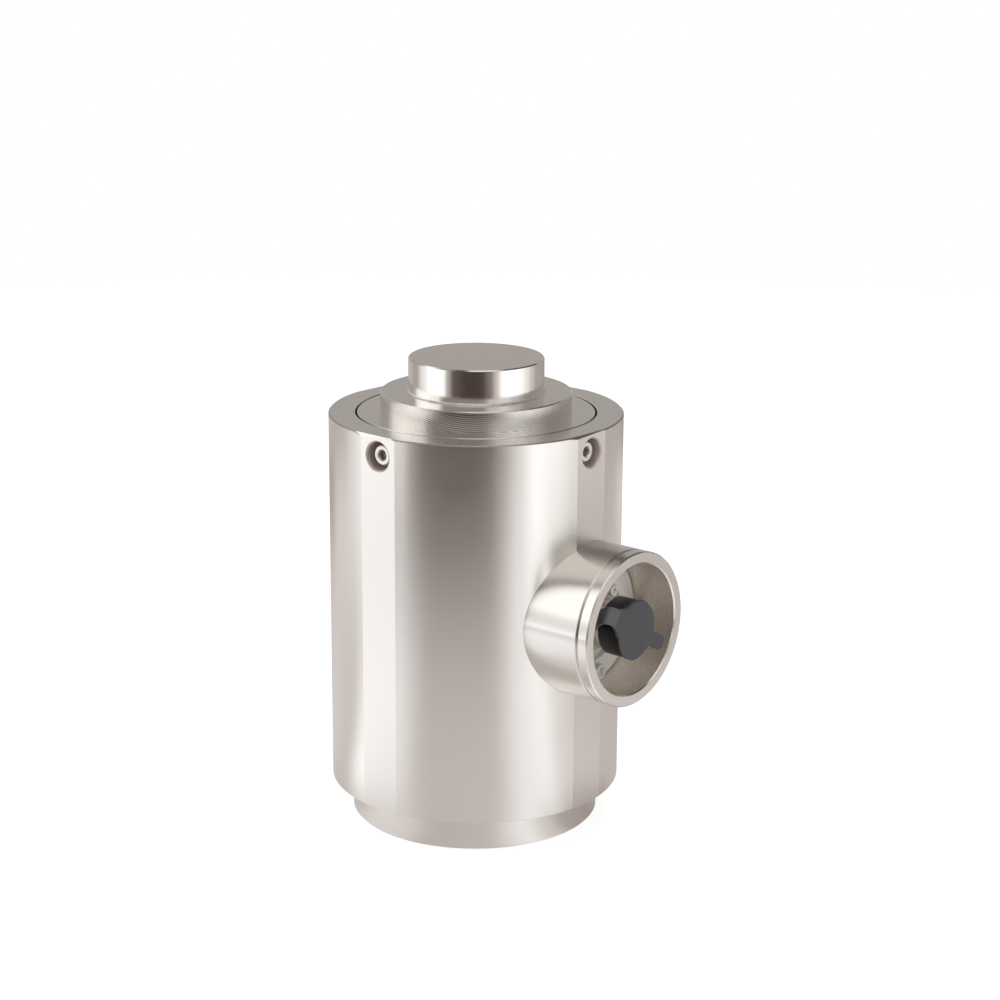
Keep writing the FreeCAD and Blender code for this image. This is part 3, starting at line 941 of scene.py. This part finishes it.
def dress_sleeve(faced):
    dress(turned_metal("sleeve_steel", roughness=0.235, grit=0.05), "housing_sleeve")
    dress_faces(faced, "housing_sleeve", faces_up)
    # The flats' cutter marks carry painted shade
    flats = turned_metal("flat_steel", roughness=0.3, anisotropy=0, marks=(hatch_marks, 0.03, 0.06))
    dress_faces(flats, "housing_sleeve", on_flat)
    # Painted shade: the bevel is darkened in place of the dark line it reflects
    edge = turned_metal("edge_steel_painted_shade", roughness=0.4, anisotropy=0, colour=edge_painted_shade_colour)
    dress_faces(edge, "housing_sleeve", on_sleeve_edge)
    # The pockets are rougher and less metallic like machined steel, and darker brown as painted shade
    pocket = turned_metal(
        "pocket_steel_machined_and_shade", roughness=0.4, anisotropy=0, colour=pocket_machined_and_shade_colour, grit=0.3, metallic=0.55
    )
    dress_faces(pocket, "housing_sleeve", in_pocket)
    dress(plain_metal("sleeve_screw_steel", (0.90, 0.87, 0.83), 0.28, 0.6), "sleeve_screws")
    # Painted shade: the hexagon sockets get a dark brown steel for the shade inside them
    dress_faces(plain_metal("socket_steel_painted_shade", (0.42, 0.35, 0.30), 0.35, 0.7), "sleeve_screws", in_socket)


def dress_column(faced):
    dress(turned_metal("column_steel"), "load_column")
    dress_faces(faced, "load_column", faces_up)
    dress_faces(turned_metal("button_steel", roughness=0.13, anisotropy=0.3), "load_column", on_button)
    foot = turned_metal("fillet_steel", roughness=0.5, anisotropy=0, grit=0.05)
    dress_faces(foot, "load_column", on_button_foot)
    # The collar's chatter marks carry painted shade
    collar = turned_metal(
        "collar_steel", roughness=0.22, anisotropy=0.2, marks=(chatter_marks, 0.10, 0.5), grit=0.05
    )
    dress_faces(collar, "load_column", on_collar)


def dress_guard():
    dress(turned_metal("guard_steel", "X", 0.22, 0.6, grit=0.3), "connector_guard")
    inner = turned_metal("guard_bore_steel", "X", 0.42, 0.3, colour=bore_colour, grit=0.8, speckle=0.35)
    dress_faces(inner, "connector_guard", in_guard)
    dress_faces(turned_metal("guard_rim_steel", "X", 0.25, 0), "connector_guard", on_guard_rim)
    plate = turned_metal("plate_steel", "X", 0.5, 0, colour=plate_colour, grit=0.4, metallic=0.4)
    dress(plate, "connector_plate")
    plate_screw = plain_metal("plate_screw_steel", (0.95, 0.93, 0.90), 0.2, 0.45)
    dress(plate_screw, "plate_screws", "receptacle_screws")
    dress(plain_metal("receptacle_metal", (0.80, 0.76, 0.70), 0.25), "receptacle_shell")


def dress_inside():
    """Materials of the pieces that are hidden or nearly so."""
    seal = dull_material("seal_rubber", (0.02, 0.02, 0.022), 0.5)
    dress(seal, "lower_seal", "upper_seal", "plate_seal", "receptacle_seal")
    dress(dull_material("insulator_plastic", (0.03, 0.03, 0.035), 0.45), "contact_insulator")
    dress(plain_metal("pin_gold", (0.95, 0.75, 0.35), 0.2), "contact_pins")
    dress(dull_material("gauge_foil", (0.75, 0.55, 0.2), 0.4), "strain_gauges")
    dress(dull_material("strip_laminate", (0.35, 0.42, 0.2), 0.5), "solder_strips")
    dress(dull_material("board_laminate", (0.03, 0.22, 0.08), 0.4), "trim_board")
    dress(plain_metal("screw_steel", (0.78, 0.76, 0.73), 0.2), "board_screws")
    dress(plain_metal("spacer_brass", (0.85, 0.68, 0.36), 0.3), "board_spacers")
    dress(dull_material("resistor_coat", (0.25, 0.42, 0.55), 0.4), "trim_resistors")
    dress(dull_material("lead_jacket", (0.55, 0.55, 0.56), 0.5), "lead_bundle")


def make_scene():
    bpy.context.scene.view_settings.view_transform = "Standard"
    make_camera()
    make_world()
    make_floor()
    make_lamps()
    faced = turned_metal("faced_steel", roughness=0.2, anisotropy=0, grit=0.08)
    dress_sleeve(faced)
    dress_column(faced)
    dress_guard()
    dress_inside()
    make_cap()


make_scene()
